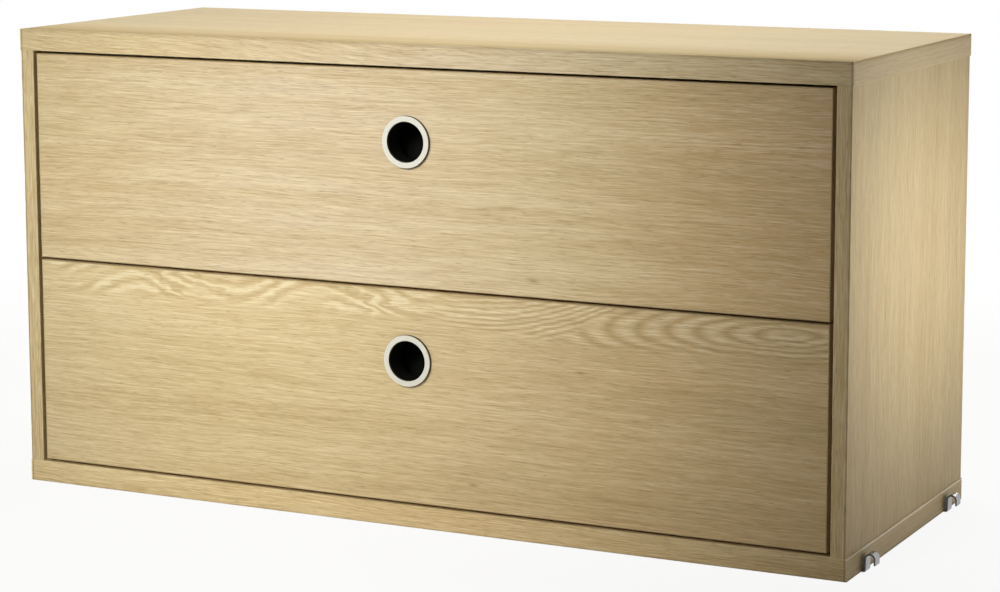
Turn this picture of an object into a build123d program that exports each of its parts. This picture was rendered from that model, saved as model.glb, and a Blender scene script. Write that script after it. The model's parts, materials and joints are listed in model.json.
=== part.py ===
from build123d import *
import math
import os

# A low chest with two inset drawers, veneered in oak. It hangs by four strip hooks
# or stands on its flat bottom.
# Sizes are in millimetres. +Z is up, the front faces -Y, and X = 0 is the middle of the width.

# Carcass boards
chest_width = 780.0  # over the ends of the top and bottom boards
chest_depth = 300.0  # front edge to back edge of the boards
chest_height = 410.0
board = 19.0  # top and bottom boards
side_board = 13.0
side_setback = 1.0  # the sides stand back from the ends of the top and bottom boards
band = 0.8  # thickness of every edge band
arris = 0.4  # rounding of the bands' outer edges

# Back panel in its groove
back_panel = 6.0
back_groove = 5.0  # groove depth
back_inset = 8.0  # behind the panel to the back edge of the boards
panel_play = 0.2  # play of a panel in its groove, each way

# Carcass dowels
dowel_r = 4.0
dowel_in_board = 12.0
dowel_in_side = 18.0
dowel_edge = 72.0  # outer dowels to the front and back edges
dowels_per_joint = 3
glue_play = 0.05  # radial play of a dowel or a screw in its hole
hole_relief = 0.5  # a dowel hole is this much deeper than the dowel
cut_over = 1.0  # cuts run this far past an open face

# Drawer fronts
reveal = 2.3  # gap over, between and under the fronts
side_reveal = 3.2  # gap at each end of a front
front_board = 16.0
front_setback = 0.5  # the fronts' faces behind the boards' front edges

# Drawer boxes
slide_gap = 10.0  # side board to box side, filled by a slide
box_side = 12.0
box_back = 12.0
box_height = 150.0
box_lift = 14.0  # box over the lower edge of its front
box_rear_room = 20.0  # box to back panel
box_bottom = 5.0
bottom_groove = 5.0
bottom_lift = 10.0  # bottom panel over the lower edge of the box
box_dowel_r = 3.0
box_dowel_in_front = 9.0
box_dowel_in_side = 8.0
box_dowel_in_end = 15.0
box_dowel_low = 30.0  # lower dowels over the lower edge of the box
box_dowel_high = 120.0

# Slides: a cabinet rail and a drawer rail with two rows of balls between them
rail_height = 27.0
rail_wall = 1.2
rail_setback = 1.5  # front end of the rails behind the drawer front
rail_rear_room = 18.0  # rear end of the cabinet rail to the back panel
rail_lift = 45.0  # middle of the rail over the lower edge of the box
ball_r = 2.0
race_play = 0.15  # ball to race
flange_rise = 0.95  # the drawer rail's race is this deep
flange_wall = 1.75
flange_tip = 0.75  # flange past the ball's middle
lug_length = 2.0  # stop lug at the front end of the cabinet rail
lug_depth = 0.9
buffer_length = 6.0
buffer_depth = 5.0
stop_play = 0.3  # moving piece to its stop
cage_wall = 0.6
cage_play = 0.4  # cage strip to rail
cage_below_ball = 2.4
cage_above_ball = 0.5
cage_length = 66.4
balls_per_strip = 5
rail_screw_end = 30.0  # outer screws to the ends of a rail

# Screws: shank radius, length under the head, head radius, head height
rail_screw = (1.75, 10.0, 3.0, 1.4)
hook_screw = (1.75, 14.0, 3.2, 1.4)
cup_screw = (1.45, 11.0, 2.4, 1.3)
bottom_screw = (1.75, 20.0, 3.0, 1.4)
screw_tip = 2.0  # length of a screw's cone
tip_end = 0.2  # radius of a screw's end, to that of its shank
head_top = 0.8  # radius of a pan head's top, to that of the head
recess_width = 0.8  # cross recess of a head
recess_depth = 0.8
bottom_screws = 3
bottom_screw_edge = 60.0  # outer screws to the sides of the box
cup_screws = 3

# Pull: a flat ring in front and a blind finger cup behind it
pull_drop = 60.2  # middle of the ring under the top edge of the front
ring_r = 22.0
ring_wall = 3.2  # the rings stand this far in front of the drawers
ring_rounding = 0.5
collar_wall = 1.2
collar_length = 4.0
pull_play = 0.1  # cup to collar and collar to hole
cup_r = 17.2
cup_wall = 1.2
cup_flange_r = 31.5
cup_flange = 2.0
chamber_r = 24.0  # the cup widens behind the front, to hook the fingers in
chamber_depth = 12.0

# Hooks: strip steel, bent round a rung of the wall ladder
strip = 1.5
strip_width = 11.0
hook_gap = 6.2  # mouth of the hook, for a 6 mm rung
hook_height = 15.5
hook_leg_gap = 2.5  # leg to the end of the bottom board
hook_lip = 6.0  # underside of the foot to the open end of the hook
hook_foot = 30.0  # foot under the board
hook_bend = 2.0  # outer rounding between foot and leg
hook_front = 40.0  # middle of the front hooks to the front edge
hook_back = 46.0
foot_play = 0.2
foot_screw_edge = 8.0  # outer screw to the end of the board
foot_screw_step = 14.0
screws_per_foot = 2

# Places worked out from the sizes
half_width = chest_width / 2
side_x = half_width - side_setback  # outer face of a side board
inner_x = side_x - side_board  # inner face of a side board
ring_stand = ring_wall - front_setback  # the same in front of the boards
front_y = -(chest_depth - ring_stand) / 2
back_y = front_y + chest_depth
panel_y = back_y - back_inset - back_panel  # front face of the back panel
face_y = front_y + front_setback  # front face of the drawer fronts
box_y = face_y + front_board  # back face of the drawer fronts
box_end_y = panel_y - box_rear_room
front_height = (chest_height - 2 * board - 3 * reveal) / 2
lower_z = board + reveal
upper_z = lower_z + front_height + reveal
front_x = inner_x - side_reveal
box_x = inner_x - slide_gap

rail_y = box_y + rail_setback
rail_end_y = panel_y - rail_rear_room
drawer_rail_end_y = rail_end_y - buffer_length - stop_play
race_r = ball_r + race_play
race_x = race_r + rail_wall  # middle of the balls, from the side board
race_z = rail_height / 2 - race_r - rail_wall  # middle of the balls, from the middle of the rail
flange_z = race_z - race_r + flange_rise
cage_x = rail_wall + cage_play
drawer_travel = drawer_rail_end_y - rail_y - lug_length - stop_play - cage_length
cage_y = rail_y + lug_length + stop_play + drawer_travel / 2  # the cages roll half as far

cup_outer_r = cup_r + cup_wall
collar_r = cup_outer_r + pull_play + collar_wall
pull_hole_r = collar_r + pull_play
chamber_outer_r = chamber_r + cup_wall
cup_end = front_board + cup_flange + chamber_depth + cup_wall

hook_r = hook_gap / 2
leg_x = half_width + hook_leg_gap
arch_x = leg_x + strip + hook_r
arch_z = hook_height - strip - hook_r

RIGHT = (1, 0, 0)
LEFT = (-1, 0, 0)
INWARD = (0, 1, 0)
OUTWARD = (0, -1, 0)
UP = (0, 0, 1)


def block(x0, x1, y0, y1, z0, z1):
    """A box between two corners."""
    size = Box(abs(x1 - x0), abs(y1 - y0), abs(z1 - z0), align=(Align.MIN, Align.MIN, Align.MIN))
    return Pos(min(x0, x1), min(y0, y1), min(z0, z1)) * size


def rod(start, direction, radius, length):
    """A cylinder from a point, in a direction."""
    turned = Plane(origin=start, z_dir=direction)
    return turned * Cylinder(radius, length, align=(Align.CENTER, Align.CENTER, Align.MIN))


def cone(start, direction, first_r, last_r, length):
    """A cone from a point, in a direction."""
    turned = Plane(origin=start, z_dir=direction)
    return turned * Cone(first_r, last_r, length, align=(Align.CENTER, Align.CENTER, Align.MIN))


def moved(point, direction, distance):
    return tuple(p + d * distance for p, d in zip(point, direction))


def spread(first, last, count):
    """Evenly spaced places from the first to the last."""
    return [first + (last - first) * i / (count - 1) for i in range(count)]


def cut(solid, tools):
    for tool in tools:
        solid = solid - tool
    return solid


def along_y(profile, y0, y1):
    """A profile drawn in X and Z, carried from y0 to y1."""
    return Pos(0, y1, 0) * extrude(Plane.XZ * profile, amount=y1 - y0)


def rectangle(x0, x1, z0, z1):
    return Pos(min(x0, x1), min(z0, z1)) * Rectangle(
        abs(x1 - x0), abs(z1 - z0), align=(Align.MIN, Align.MIN)
    )


def mirrored(solid):
    """The same piece on the other side of the chest."""
    return mirror(solid, about=Plane.YZ)


def eased(solid, *places):
    """Rounds the edges that lie in each pair of planes, given as (axis, value, axis, value)."""
    picked = []
    for first, at_first, second, at_second in places:
        for edge in solid.edges():
            ends = edge.vertices()
            on_first = all(abs(getattr(v, first) - at_first) < 0.001 for v in ends)
            on_second = all(abs(getattr(v, second) - at_second) < 0.001 for v in ends)
            if on_first and on_second:
                picked.append(edge)
    return fillet(picked, arris)


def screw(head_face, direction, sizes, countersunk=False):
    """A screw with a cross recess. head_face is where the head's underside seats, or its top if countersunk."""
    shank_r, length, head_r, head_height = sizes
    seat = moved(head_face, direction, head_height) if countersunk else head_face
    under = length - head_height if countersunk else length
    shank = rod(seat, direction, shank_r, under - screw_tip)
    tip = cone(moved(seat, direction, under - screw_tip), direction, shank_r, shank_r * tip_end, screw_tip)
    if countersunk:
        head = cone(head_face, direction, head_r, shank_r, head_height)
        top = head_face
    else:
        top = moved(head_face, direction, -head_height)
        head = cone(top, direction, head_r * head_top, head_r, head_height / 2)
        head += rod(moved(top, direction, head_height / 2), direction, head_r, head_height / 2)
    recess_plane = Plane(origin=top, z_dir=direction)
    middle = (Align.CENTER, Align.CENTER, Align.MIN)
    slot = Box(head_r, recess_width, recess_depth, align=middle)
    cross = Box(recess_width, head_r, recess_depth, align=middle)
    return head + shank + tip - recess_plane * slot - recess_plane * cross


def screw_hole(face, direction, sizes):
    """The hole that a screw's shank takes, from the face it enters."""
    shank_r, length = sizes[:2]
    return rod(face, direction, shank_r + glue_play, length + hole_relief)


def carcass_dowel_places():
    ys = spread(front_y + dowel_edge, back_y - dowel_edge, dowels_per_joint)
    x = side_x - side_board / 2
    return [(s * x, y) for s in (-1, 1) for y in ys]


def dowel_holes(z_joint, direction, depth):
    """Blind holes for the carcass dowels, from a joint face into a board."""
    radius = dowel_r + glue_play
    return [rod((x, y, z_joint), (0, 0, direction), radius, depth + hole_relief) for x, y in carcass_dowel_places()]


def back_groove_cut(x0, x1, z0, z1):
    return block(x0, x1, panel_y - panel_play, panel_y + back_panel + panel_play, z0, z1)


def hook_places():
    """Middle of each hook along the depth, by name."""
    return {"front": front_y + hook_front, "rear": back_y - hook_back}


def foot_screw_xs():
    return [half_width - foot_screw_edge - i * foot_screw_step for i in range(screws_per_foot)]


def foot_recesses():
    """Shallow recesses under the bottom board, which let the hooks' feet in flush."""
    half = strip_width / 2 + foot_play
    inner = half_width - hook_foot - foot_play
    beyond = half_width + cut_over
    right = [block(inner, beyond, y - half, y + half, 0, strip) for y in hook_places().values()]
    return right + [mirrored(r) for r in right]


def foot_screw_holes():
    right = []
    for y in hook_places().values():
        right += [screw_hole((x, y, 0), UP, hook_screw) for x in foot_screw_xs()]
    return right + [mirrored(r) for r in right]


def end_bands(z0, z1):
    """Bands on both ends of a long board, over its full depth."""
    right = block(half_width - band, half_width, front_y, back_y, z0, z1)
    outer = half_width
    right = eased(right, ("X", outer, "Z", z0), ("X", outer, "Z", z1), ("X", outer, "Y", front_y))
    return [mirrored(right), right]


def long_front_band(z0, z1):
    strip_band = block(band - half_width, half_width - band, front_y, front_y + band, z0, z1)
    return eased(strip_band, ("Y", front_y, "Z", z0), ("Y", front_y, "Z", z1))


def long_board(z0, z1):
    """The core of the top or bottom board, inside its bands."""
    return block(band - half_width, half_width - band, front_y + band, back_y, z0, z1)


def top_board():
    z = chest_height - board
    core = cut(long_board(z, chest_height), dowel_holes(z, 1, dowel_in_board))
    groove = back_groove_cut(-inner_x - back_groove, inner_x + back_groove, z, z + back_groove)
    return core - groove


def bottom_board():
    core = cut(long_board(0, board), dowel_holes(board, -1, dowel_in_board))
    core -= back_groove_cut(-inner_x - back_groove, inner_x + back_groove, board - back_groove, board)
    return cut(core, foot_recesses() + foot_screw_holes())


def side_panel():
    """The right side board."""
    core = block(inner_x, side_x, front_y + band, back_y, board, chest_height - board)
    core = cut(core, dowel_holes(board, 1, dowel_in_side))
    core = cut(core, dowel_holes(chest_height - board, -1, dowel_in_side))
    core -= back_groove_cut(inner_x, inner_x + back_groove, board, chest_height - board)
    for z in rail_heights():
        core = cut(core, [screw_hole((inner_x, y, z), RIGHT, rail_screw) for y in cabinet_rail_screw_ys()])
    return core


def side_band():
    strip_band = block(inner_x, side_x, front_y, front_y + band, board, chest_height - board)
    return eased(strip_band, ("Y", front_y, "X", side_x), ("Y", front_y, "X", inner_x))


def back():
    reach = back_groove - panel_play
    return block(
        -inner_x - reach, inner_x + reach, panel_y, panel_y + back_panel, board - reach, chest_height - board + reach
    )


def carcass_dowels():
    dowels = []
    length = dowel_in_board + dowel_in_side
    for x, y in carcass_dowel_places():
        dowels.append(rod((x, y, board - dowel_in_board), UP, dowel_r, length))
        dowels.append(rod((x, y, chest_height - board - dowel_in_side), UP, dowel_r, length))
    return dowels


def hook(y):
    """A right-hand hook: a foot under the board, a leg beside its end and an arch, open below."""
    foot = rectangle(half_width - hook_foot, leg_x + strip, 0, strip)
    leg = rectangle(leg_x, leg_x + strip, 0, arch_z)
    arch = Pos(arch_x, arch_z) * (Circle(hook_r + strip) - Circle(hook_r))
    arch -= rectangle(leg_x - strip, arch_x + hook_height, 0, arch_z)
    lip = rectangle(arch_x + hook_r, arch_x + hook_r + strip, hook_lip, arch_z)
    body = along_y(foot + leg + arch + lip, y - strip_width / 2, y + strip_width / 2)
    corner = [e for e in body.edges() if at_corner(e, leg_x + strip, 0)]
    body = fillet(corner, hook_bend)
    shank_r, _, head_r, head_height = hook_screw
    for x in foot_screw_xs():
        body -= rod((x, y, 0), UP, shank_r + glue_play, strip)
        body -= cone((x, y, 0), UP, head_r + glue_play, shank_r + glue_play, head_height + glue_play)
    return body


def at_corner(edge, x, z):
    """True for an edge along the depth at this X and Z."""
    return all(abs(v.X - x) < 0.001 and abs(v.Z - z) < 0.001 for v in edge.vertices())


def hook_screws():
    right = [screw((x, y, 0), UP, hook_screw, True) for y in hook_places().values() for x in foot_screw_xs()]
    return right + [mirrored(s) for s in right]


def rail_heights():
    return [z + box_lift + rail_lift for z in (upper_z, lower_z)]


def rail_screw_ys(start, end):
    return [start + rail_screw_end, (start + end) / 2, end - rail_screw_end]


def cabinet_rail_screw_ys():
    return rail_screw_ys(rail_y, rail_end_y)


def drawer_rail_screw_ys():
    return rail_screw_ys(rail_y, drawer_rail_end_y)


def at_left(profile, z):
    """Puts a slide's profile, drawn from the left side board's face, at its height."""
    return Pos(-inner_x, z) * profile


def race_circle(radius, up):
    return Pos(race_x, up * race_z) * Circle(radius)


def cabinet_rail(z):
    """The left cabinet rail: a web with a rolled race at its top and bottom."""
    profile = rectangle(0, rail_wall, -race_z, race_z)
    for up in (-1, 1):
        ring = race_circle(race_r + rail_wall, up) - race_circle(race_r, up)
        profile += ring - rectangle(-cut_over, slide_gap, 0, up * race_z)
    rail = along_y(at_left(profile, z), rail_y, rail_end_y)
    for up in (-1, 1):
        x0 = rail_wall - inner_x
        rail += block(x0, x0 + lug_depth, rail_y, rail_y + lug_length, z + up * flange_z, z + up * race_z)
    return cut(rail, [screw_hole((rail_wall - inner_x, y, z), LEFT, rail_screw) for y in cabinet_rail_screw_ys()])


def drawer_rail(z):
    """The left drawer rail: a web on the box side with two grooved flanges."""
    profile = rectangle(slide_gap - rail_wall, slide_gap, -flange_z, flange_z)
    for up in (-1, 1):
        flange = rectangle(race_x - flange_tip, slide_gap, up * (flange_z - flange_wall), up * flange_z)
        profile += flange - race_circle(race_r, up)
    rail = along_y(at_left(profile, z), rail_y, drawer_rail_end_y)
    x = slide_gap - rail_wall - inner_x
    return cut(rail, [screw_hole((x, y, z), RIGHT, rail_screw) for y in drawer_rail_screw_ys()])


def ball_places():
    step = cage_length / balls_per_strip
    return [cage_y + step * (i + 0.5) for i in range(balls_per_strip)]


def cage_strips(z):
    """The two strips that space the balls of the left slide."""
    strips = []
    x0 = cage_x - inner_x
    for up in (-1, 1):
        low = z + up * (race_z - cage_below_ball)
        high = z + up * (race_z + cage_above_ball)
        piece = block(x0, x0 + cage_wall, cage_y, cage_y + cage_length, low, high)
        through = cage_wall + 2 * cut_over
        holes = [rod((x0 - cut_over, y, z + up * race_z), RIGHT, race_r, through) for y in ball_places()]
        strips.append(cut(piece, holes))
    return strips


def slide_balls(z):
    return [
        Pos(race_x - inner_x, y, z + up * race_z) * Sphere(ball_r) for up in (-1, 1) for y in ball_places()
    ]


def rail_buffers():
    """Rear buffers of the left rails, which the drawer rails meet when the drawers are shut."""
    x0 = rail_wall - inner_x
    y0 = rail_end_y - buffer_length
    left = [block(x0, x0 + buffer_depth, y0, rail_end_y, z - flange_z, z + flange_z) for z in rail_heights()]
    left = [fillet(b.edges().filter_by(Axis.X), lug_depth) for b in left]
    return left + [mirrored(b) for b in left]


def cabinet_rail_screws():
    left = []
    for z in rail_heights():
        left += [screw((rail_wall - inner_x, y, z), LEFT, rail_screw) for y in cabinet_rail_screw_ys()]
    return left + [mirrored(s) for s in left]


def drawer_front(z0):
    """The core of a drawer front, inside its bands."""
    z1 = z0 + front_height
    core = block(band - front_x, front_x - band, face_y, box_y, z0 + band, z1 - band)
    core -= rod((0, face_y, z1 - pull_drop), INWARD, pull_hole_r, front_board)
    bottom_z = z0 + box_lift + bottom_lift
    reach = box_x - box_side + bottom_groove
    groove_low, groove_high = bottom_z - panel_play, bottom_z + box_bottom + panel_play
    core -= block(-reach, reach, box_y - bottom_groove, box_y, groove_low, groove_high)
    core = cut(core, front_dowel_holes(z0, OUTWARD, box_dowel_in_front))
    return cut(core, [screw_hole(p, OUTWARD, cup_screw) for p in cup_screw_places(z0, box_y)])


def drawer_front_bands(z0):
    """The four edge bands of a drawer front."""
    z1 = z0 + front_height
    right = block(front_x - band, front_x, face_y, box_y, z0, z1)
    right = eased(right, ("Y", face_y, "X", front_x))
    low = block(band - front_x, front_x - band, face_y, box_y, z0, z0 + band)
    low = eased(low, ("Y", face_y, "Z", z0))
    high = block(band - front_x, front_x - band, face_y, box_y, z1 - band, z1)
    high = eased(high, ("Y", face_y, "Z", z1))
    return [mirrored(right), right, low, high]


def front_dowel_places(z0):
    x = box_x - box_side / 2
    zs = (z0 + box_lift + box_dowel_low, z0 + box_lift + box_dowel_high)
    return [(s * x, z) for s in (-1, 1) for z in zs]


def front_dowel_holes(z0, direction, depth):
    radius = box_dowel_r + glue_play
    return [rod((x, box_y, z), direction, radius, depth + hole_relief) for x, z in front_dowel_places(z0)]


def back_dowel_heights(z0):
    return [z0 + box_lift + lift for lift in (box_dowel_low, box_dowel_high)]


def back_dowel_holes(z0, direction, depth):
    """Blind holes on the left joint between box side and box back."""
    start = box_side - box_x
    y = box_end_y - box_back / 2
    radius = box_dowel_r + glue_play
    return [rod((start, y, z), direction, radius, depth + hole_relief) for z in back_dowel_heights(z0)]


def box_side_panel(z0):
    """The left side of a drawer box."""
    low = z0 + box_lift
    inner = box_side - box_x
    side = block(-box_x, inner, box_y, box_end_y, low, low + box_height)
    bottom_z = low + bottom_lift
    side -= block(
        inner - bottom_groove, inner, box_y, box_end_y, bottom_z - panel_play, bottom_z + box_bottom + panel_play
    )
    side = cut(side, front_dowel_holes(z0, INWARD, box_dowel_in_end))
    side = cut(side, back_dowel_holes(z0, LEFT, box_dowel_in_side))
    rail_z = low + rail_lift
    return cut(side, [screw_hole((-box_x, y, rail_z), RIGHT, side_screw()) for y in drawer_rail_screw_ys()])


def side_screw():
    """What a rail screw takes of the wood behind the rail."""
    return (rail_screw[0], rail_screw[1] - rail_wall)


def box_back_panel(z0):
    low = z0 + box_lift + bottom_lift + box_bottom
    high = z0 + box_lift + box_height
    half = box_x - box_side
    panel = block(-half, half, box_end_y - box_back, box_end_y, low, high)
    holes = back_dowel_holes(z0, RIGHT, box_dowel_in_end)
    panel = cut(panel, holes + [mirrored(h) for h in holes])
    return cut(panel, [screw_hole((x, y, low), UP, back_screw()) for x, y in bottom_screw_places()])


def back_screw():
    """What a bottom screw takes of the box back."""
    return (bottom_screw[0], bottom_screw[1] - box_bottom)


def bottom_screw_places():
    reach = box_x - bottom_screw_edge
    return [(x, box_end_y - box_back / 2) for x in spread(-reach, reach, bottom_screws)]


def box_bottom_panel(z0):
    low = z0 + box_lift + bottom_lift
    reach = box_x - box_side + bottom_groove - panel_play
    panel = block(-reach, reach, box_y - bottom_groove + panel_play, box_end_y, low, low + box_bottom)
    return cut(panel, [screw_hole((x, y, low), UP, bottom_screw) for x, y in bottom_screw_places()])


def box_dowels(z0):
    length = box_dowel_in_front + box_dowel_in_end
    dowels = [rod((x, box_y - box_dowel_in_front, z), INWARD, box_dowel_r, length) for x, z in front_dowel_places(z0)]
    start = box_side - box_dowel_in_side - box_x
    y = box_end_y - box_back / 2
    length = box_dowel_in_side + box_dowel_in_end
    left = [rod((start, y, z), RIGHT, box_dowel_r, length) for z in back_dowel_heights(z0)]
    return dowels + left + [mirrored(d) for d in left]


def bottom_panel_screws(z0):
    low = z0 + box_lift + bottom_lift
    return [screw((x, y, low), UP, bottom_screw) for x, y in bottom_screw_places()]


def drawer_rail_screws(z0):
    z = z0 + box_lift + rail_lift
    left = [screw((slide_gap - rail_wall - inner_x, y, z), RIGHT, rail_screw) for y in drawer_rail_screw_ys()]
    return left + [mirrored(s) for s in left]


def turned(points, z):
    """A round piece on the pull's axis: the outline is given as radius and depth behind the front's face."""
    outline = make_face(Polyline(*points, close=True))
    return Pos(0, face_y, z) * revolve(outline, axis=Axis.Y)


def pull_ring(z0):
    z = z0 + front_height - pull_drop
    inner = collar_r - collar_wall
    points = [
        (cup_r, -ring_wall),
        (ring_r, -ring_wall),
        (ring_r, 0),
        (collar_r, 0),
        (collar_r, collar_length),
        (inner, collar_length),
        (inner, 0),
        (cup_r, 0),
    ]
    ring = turned(points, z)
    rim = [e for e in ring.edges().filter_by(GeomType.CIRCLE) if abs(e.radius - ring_r) < 0.001]
    rim = [e for e in rim if abs(e.arc_center.Y - face_y + ring_wall) < 0.001]
    return fillet(rim, ring_rounding)


def finger_cup(z0):
    """A blind cup from the ring through the front, wider behind it."""
    z = z0 + front_height - pull_drop
    seat = front_board
    roof = front_board + cup_flange
    points = [
        (cup_r, pull_play),
        (cup_outer_r, pull_play),
        (cup_outer_r, seat),
        (cup_flange_r, seat),
        (cup_flange_r, roof),
        (chamber_outer_r, roof),
        (chamber_outer_r, cup_end),
        (0, cup_end),
        (0, cup_end - cup_wall),
        (chamber_r, cup_end - cup_wall),
        (chamber_r, roof),
        (cup_r, roof),
    ]
    cup = turned(points, z)
    return cut(cup, [screw_hole(p, OUTWARD, cup_screw) for p in cup_screw_places(z0, box_y + cup_flange)])


def cup_screw_places(z0, y):
    """Points on the circle of the cup's screws, at a given depth."""
    z = z0 + front_height - pull_drop
    radius = (chamber_outer_r + cup_flange_r) / 2
    angles = [math.pi / 2 + 2 * math.pi * i / cup_screws for i in range(cup_screws)]
    return [(radius * math.cos(a), y, z + radius * math.sin(a)) for a in angles]


def finger_cup_screws(z0):
    return [screw(p, OUTWARD, cup_screw) for p in cup_screw_places(z0, box_y + cup_flange)]


def group(solids):
    return Compound(children=list(solids))


def carcass_parts():
    top_z = chest_height - board
    side = side_panel()
    bottom_bands = [cut(b, foot_recesses()) for b in end_bands(0, board)]
    parts = {
        "top_panel": top_board(),
        "bottom_panel": bottom_board(),
        "left_side_panel": mirrored(side),
        "right_side_panel": side,
        "back_panel": back(),
        "top_edge_bands": group([long_front_band(top_z, chest_height)] + end_bands(top_z, chest_height)),
        "bottom_edge_bands": group([long_front_band(0, board)] + bottom_bands),
        "side_edge_bands": group([mirrored(side_band()), side_band()]),
        "carcass_dowels": group(carcass_dowels()),
        "hook_screws": group(hook_screws()),
        "cabinet_rail_screws": group(cabinet_rail_screws()),
        "rail_buffers": group(rail_buffers()),
    }
    for place, y in hook_places().items():
        right = hook(y)
        parts[f"{place}_right_hook"] = right
        parts[f"{place}_left_hook"] = mirrored(right)
    return parts


def drawer_parts(name, z0):
    """Every piece of one drawer and its slides. z0 is the lower edge of the drawer front."""
    side = box_side_panel(z0)
    rail_z = z0 + box_lift + rail_lift
    fixed, sliding = cabinet_rail(rail_z), drawer_rail(rail_z)
    strips, balls = cage_strips(rail_z), slide_balls(rail_z)
    return {
        f"{name}_left_cabinet_rail": fixed,
        f"{name}_right_cabinet_rail": mirrored(fixed),
        f"{name}_left_drawer_rail": sliding,
        f"{name}_right_drawer_rail": mirrored(sliding),
        f"{name}_ball_cages": group(strips + [mirrored(s) for s in strips]),
        f"{name}_slide_balls": group(balls + [mirrored(b) for b in balls]),
        f"{name}_drawer_front": drawer_front(z0),
        f"{name}_front_bands": group(drawer_front_bands(z0)),
        f"{name}_left_box_side": side,
        f"{name}_right_box_side": mirrored(side),
        f"{name}_box_back": box_back_panel(z0),
        f"{name}_box_bottom": box_bottom_panel(z0),
        f"{name}_box_dowels": group(box_dowels(z0)),
        f"{name}_bottom_screws": group(bottom_panel_screws(z0)),
        f"{name}_rail_screws": group(drawer_rail_screws(z0)),
        f"{name}_pull_ring": pull_ring(z0),
        f"{name}_finger_cup": finger_cup(z0),
        f"{name}_cup_screws": group(finger_cup_screws(z0)),
    }


os.makedirs("parts", exist_ok=True)
nodes = carcass_parts() | drawer_parts("upper", upper_z) | drawer_parts("lower", lower_z)
for name, shape in nodes.items():
    export_step(shape, f"parts/{name}.step")
print(len(nodes), "nodes")
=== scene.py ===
"""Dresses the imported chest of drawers.

Oak veneer, birch boxes, steel slides, pulls and hooks, in a plain studio.
"""

import json
import math

import bmesh
import bpy
import numpy as np
from bpy.props import FloatProperty, FloatVectorProperty, PointerProperty
from mathutils import Matrix, Vector

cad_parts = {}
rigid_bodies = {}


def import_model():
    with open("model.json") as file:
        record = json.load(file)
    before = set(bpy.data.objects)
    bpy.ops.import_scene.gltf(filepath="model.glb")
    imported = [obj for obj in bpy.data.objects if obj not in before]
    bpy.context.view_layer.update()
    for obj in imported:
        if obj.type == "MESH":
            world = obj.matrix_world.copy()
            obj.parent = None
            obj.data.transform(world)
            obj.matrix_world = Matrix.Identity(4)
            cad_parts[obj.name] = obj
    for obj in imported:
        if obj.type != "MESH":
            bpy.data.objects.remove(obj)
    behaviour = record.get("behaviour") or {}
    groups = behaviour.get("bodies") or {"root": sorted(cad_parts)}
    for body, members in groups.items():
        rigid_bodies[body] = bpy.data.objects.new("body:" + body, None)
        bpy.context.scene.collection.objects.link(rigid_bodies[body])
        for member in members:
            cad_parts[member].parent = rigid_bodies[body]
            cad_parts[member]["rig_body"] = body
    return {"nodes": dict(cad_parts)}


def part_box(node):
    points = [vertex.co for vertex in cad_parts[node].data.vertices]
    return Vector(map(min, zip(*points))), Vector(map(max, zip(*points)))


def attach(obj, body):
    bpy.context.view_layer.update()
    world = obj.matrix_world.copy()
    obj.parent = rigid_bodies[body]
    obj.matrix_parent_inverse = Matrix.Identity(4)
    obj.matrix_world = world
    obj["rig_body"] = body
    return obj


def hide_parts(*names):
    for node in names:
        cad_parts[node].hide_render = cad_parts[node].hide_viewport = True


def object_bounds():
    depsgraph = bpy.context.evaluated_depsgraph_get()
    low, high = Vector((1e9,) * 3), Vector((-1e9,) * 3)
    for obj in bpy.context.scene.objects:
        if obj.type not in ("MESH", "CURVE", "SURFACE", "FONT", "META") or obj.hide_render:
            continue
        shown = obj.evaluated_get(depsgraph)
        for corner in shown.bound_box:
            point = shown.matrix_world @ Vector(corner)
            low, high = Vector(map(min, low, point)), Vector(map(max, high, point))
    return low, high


bl_info = {
    "name": "Hanging Oak Chest",
    "version": (1, 0, 0),
    "blender": (4, 5, 0),
    "location": "View3D > Sidebar > Chest",
    "description": "Dresses the packed chest of drawers with veneer, slides, pulls, hooks and a studio",
    "category": "Object",
}

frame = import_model()
CAD_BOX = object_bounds()

DRAWERS = ("upper", "lower")
SIDES = ("left", "right")
HOOK_ENDS = ("front", "rear")
MM = 0.001

# Patches of the veneer's pattern, in metres: along the grain, and in the two directions across it
SWAY = (0.160, 0.050, 0.050)
BANDS = (0.500, 0.022, 0.022)
STREAKS = (0.046, 1.15 * MM, 1.15 * MM)
HAIRS = (0.018, 0.5 * MM, 0.5 * MM)
WARM_PATCHES = (0.400, 0.080, 0.080)
DASHES = (0.020, 0.9 * MM, 0.9 * MM)
PORES = (0.011, 0.6 * MM, 0.6 * MM)


def lowest(node):
    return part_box(node)[0]


def highest(node):
    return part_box(node)[1]


# Thickness of a drawer front with its bands, and of a side of a drawer box
FRONT_BOARD = highest("lower_drawer_front").y - lowest("lower_front_bands").y
BOX_SIDE = highest("lower_left_box_side").x - lowest("lower_left_box_side").x

# From the upper edge of a drawer front down to the middle of its pull
PULL_DROP = 60.2 * MM

HALF_WIDTH = highest("top_edge_bands").x
FRONT_EDGE = lowest("top_edge_bands").y

# The pattern's depth is measured from here, so that it moves with the front edge
GRAIN_START = FRONT_EDGE + 149.5 * MM


def length(name, description, default):
    """A length that a user would change, in metres."""
    return FloatProperty(
        name=name, description=description, default=default, unit="LENGTH", subtype="DISTANCE"
    )


def colour(name, description, default):
    return FloatVectorProperty(
        name=name, description=description, default=default, size=3, min=0.0, max=1.0, subtype="COLOR"
    )


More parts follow.
